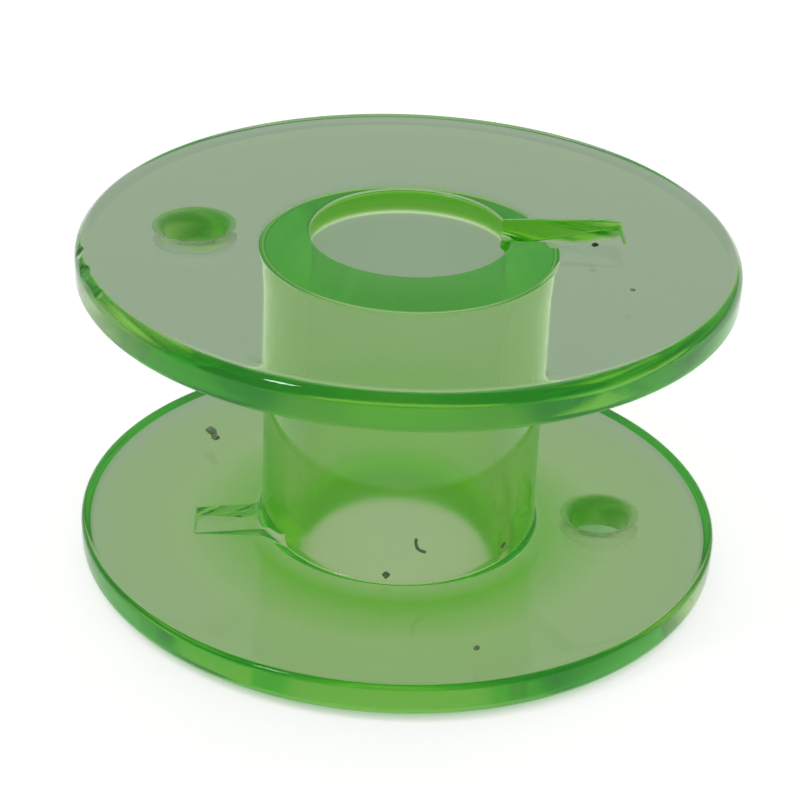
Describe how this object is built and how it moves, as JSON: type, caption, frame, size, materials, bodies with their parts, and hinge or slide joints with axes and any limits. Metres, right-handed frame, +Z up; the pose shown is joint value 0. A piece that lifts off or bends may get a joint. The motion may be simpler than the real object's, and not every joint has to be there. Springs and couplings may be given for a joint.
{
  "type": "sewing machine bobbin",
  "caption": "Translucent plastic thread bobbin: dished flanges on a hollow hub, each flange with a thread hole and, opposite it, a ramped winder slot.",
  "frame": {"origin": "on the bore's axis, in the plane of the lower hub end that the bobbin rests on", "axes": "+Z up along the bore; +X towards the upper flange's winder slot, which is above the lower flange's thread hole; +Y to the right of that, seen from the rim at -X"},
  "size_m": [0.0206, 0.0206, 0.0112],
  "materials": {
    "green_plastic": "translucent, smooth moulded"
  },
  "bodies": {
    "root": {"bobbin": "green_plastic"}
  },
  "joints": []
}
